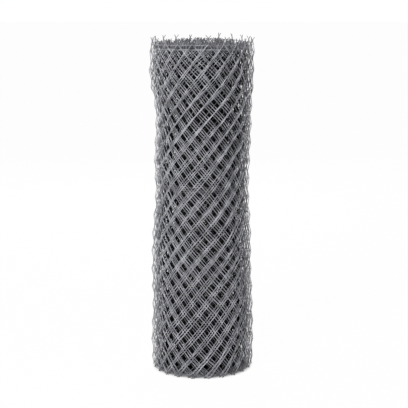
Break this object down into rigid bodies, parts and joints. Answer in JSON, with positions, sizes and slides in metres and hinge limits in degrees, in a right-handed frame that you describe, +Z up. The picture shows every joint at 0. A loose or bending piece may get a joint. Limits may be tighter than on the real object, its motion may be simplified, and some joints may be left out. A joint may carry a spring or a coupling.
{
  "type": "roll of chain link fence fabric",
  "caption": "Standing roll of galvanised steel chain link fence fabric with twisted barbs along the top edge, knuckles along the foot and woven tension wires.",
  "frame": {"origin": "on the floor, under the middle of the whole roll's box", "axes": "+Z up along the roll, from the knuckles to the barbs; -Y towards the side that the picture shows"},
  "size_m": [0.466, 0.4648, 1.5043],
  "materials": {
    "galvanised_wire": "hot-dip galvanised, dull and slightly mottled"
  },
  "bodies": {
    "root": {"picket_01": "galvanised_wire", "picket_02": "galvanised_wire", "picket_03": "galvanised_wire", "picket_04": "galvanised_wire", "picket_05": "galvanised_wire", "picket_06": "galvanised_wire", "picket_07": "galvanised_wire", "picket_08": "galvanised_wire", "picket_09": "galvanised_wire", "picket_10": "galvanised_wire", "picket_11": "galvanised_wire", "picket_12": "galvanised_wire", "picket_13": "galvanised_wire", "picket_14": "galvanised_wire", "picket_15": "galvanised_wire", "picket_16": "galvanised_wire", "picket_17": "galvanised_wire", "picket_18": "galvanised_wire", "picket_19": "galvanised_wire", "picket_20": "galvanised_wire", "picket_21": "galvanised_wire", "picket_22": "galvanised_wire", "picket_23": "galvanised_wire", "picket_24": "galvanised_wire", "picket_25": "galvanised_wire", "picket_26": "galvanised_wire", "picket_27": "galvanised_wire", "picket_28": "galvanised_wire", "picket_29": "galvanised_wire", "picket_30": "galvanised_wire", "picket_31": "galvanised_wire", "picket_32": "galvanised_wire", "picket_33": "galvanised_wire", "picket_34": "galvanised_wire", "picket_35": "galvanised_wire", "picket_36": "galvanised_wire", "picket_37": "galvanised_wire", "picket_38": "galvanised_wire", "picket_39": "galvanised_wire", "picket_40": "galvanised_wire", "picket_41": "galvanised_wire", "picket_42": "galvanised_wire", "tension_wire_bottom": "galvanised_wire", "tension_wire_middle": "galvanised_wire", "tension_wire_top": "galvanised_wire", "tie_bottom": "galvanised_wire", "tie_middle": "galvanised_wire", "tie_top": "galvanised_wire", "inner_turns": "galvanised_wire"}
  },
  "joints": []
}
